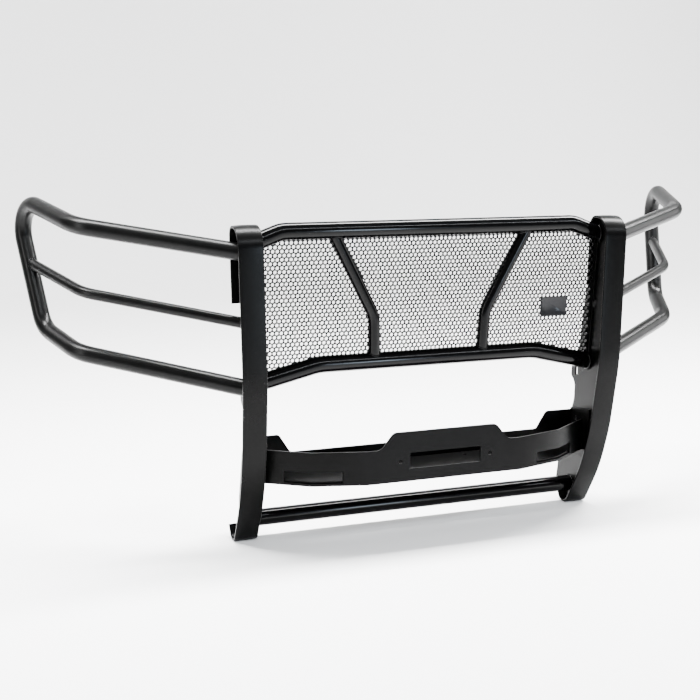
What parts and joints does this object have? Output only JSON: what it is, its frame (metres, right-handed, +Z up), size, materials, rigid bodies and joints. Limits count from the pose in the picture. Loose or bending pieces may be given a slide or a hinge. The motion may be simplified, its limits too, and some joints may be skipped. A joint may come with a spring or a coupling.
{
  "type": "front grille guard",
  "caption": "Welded front grille guard with wrapped uprights, punched-sheet grille in bent tube, winch tray, cross tube and tubular headlight guards that sweep back at each side.",
  "frame": {"origin": "centre of the guard's box, at the bottom: between the two uprights, level with their toes", "axes": "+X across the vehicle to the viewer's right when facing the guard, +Y back towards the vehicle, +Z up"},
  "size_m": [2.0136, 0.5985, 0.8895],
  "materials": {
    "upright_black": "satin black powder coat",
    "tube_black": "gloss black powder coat",
    "panel_black": "semi-gloss black powder coat",
    "tray_black": "semi-gloss black powder coat",
    "badge": "blank moulded emblem plate"
  },
  "bodies": {
    "root": {"upright_web_left": "upright_black", "upright_web_right": "upright_black", "upright_band_left": "upright_black", "upright_band_right": "upright_black", "wing_hoop_left": "tube_black", "wing_hoop_right": "tube_black", "wing_mid_tube_left": "tube_black", "wing_mid_tube_right": "tube_black", "grille_top_tube": "tube_black", "grille_lower_tube": "tube_black", "grille_brace_left": "tube_black", "grille_brace_right": "tube_black", "punched_panel_left": "panel_black", "punched_panel_middle": "panel_black", "punched_panel_right": "panel_black", "grille_edge_bar_left": "tube_black", "grille_edge_bar_right": "tube_black", "grille_badge": "badge", "tray_front_plate": "tray_black", "tray_floor": "tray_black", "tray_back_plate": "tray_black", "tray_end_plate_left": "tray_black", "tray_end_plate_right": "tray_black", "cross_tube": "tube_black"}
  },
  "joints": []
}
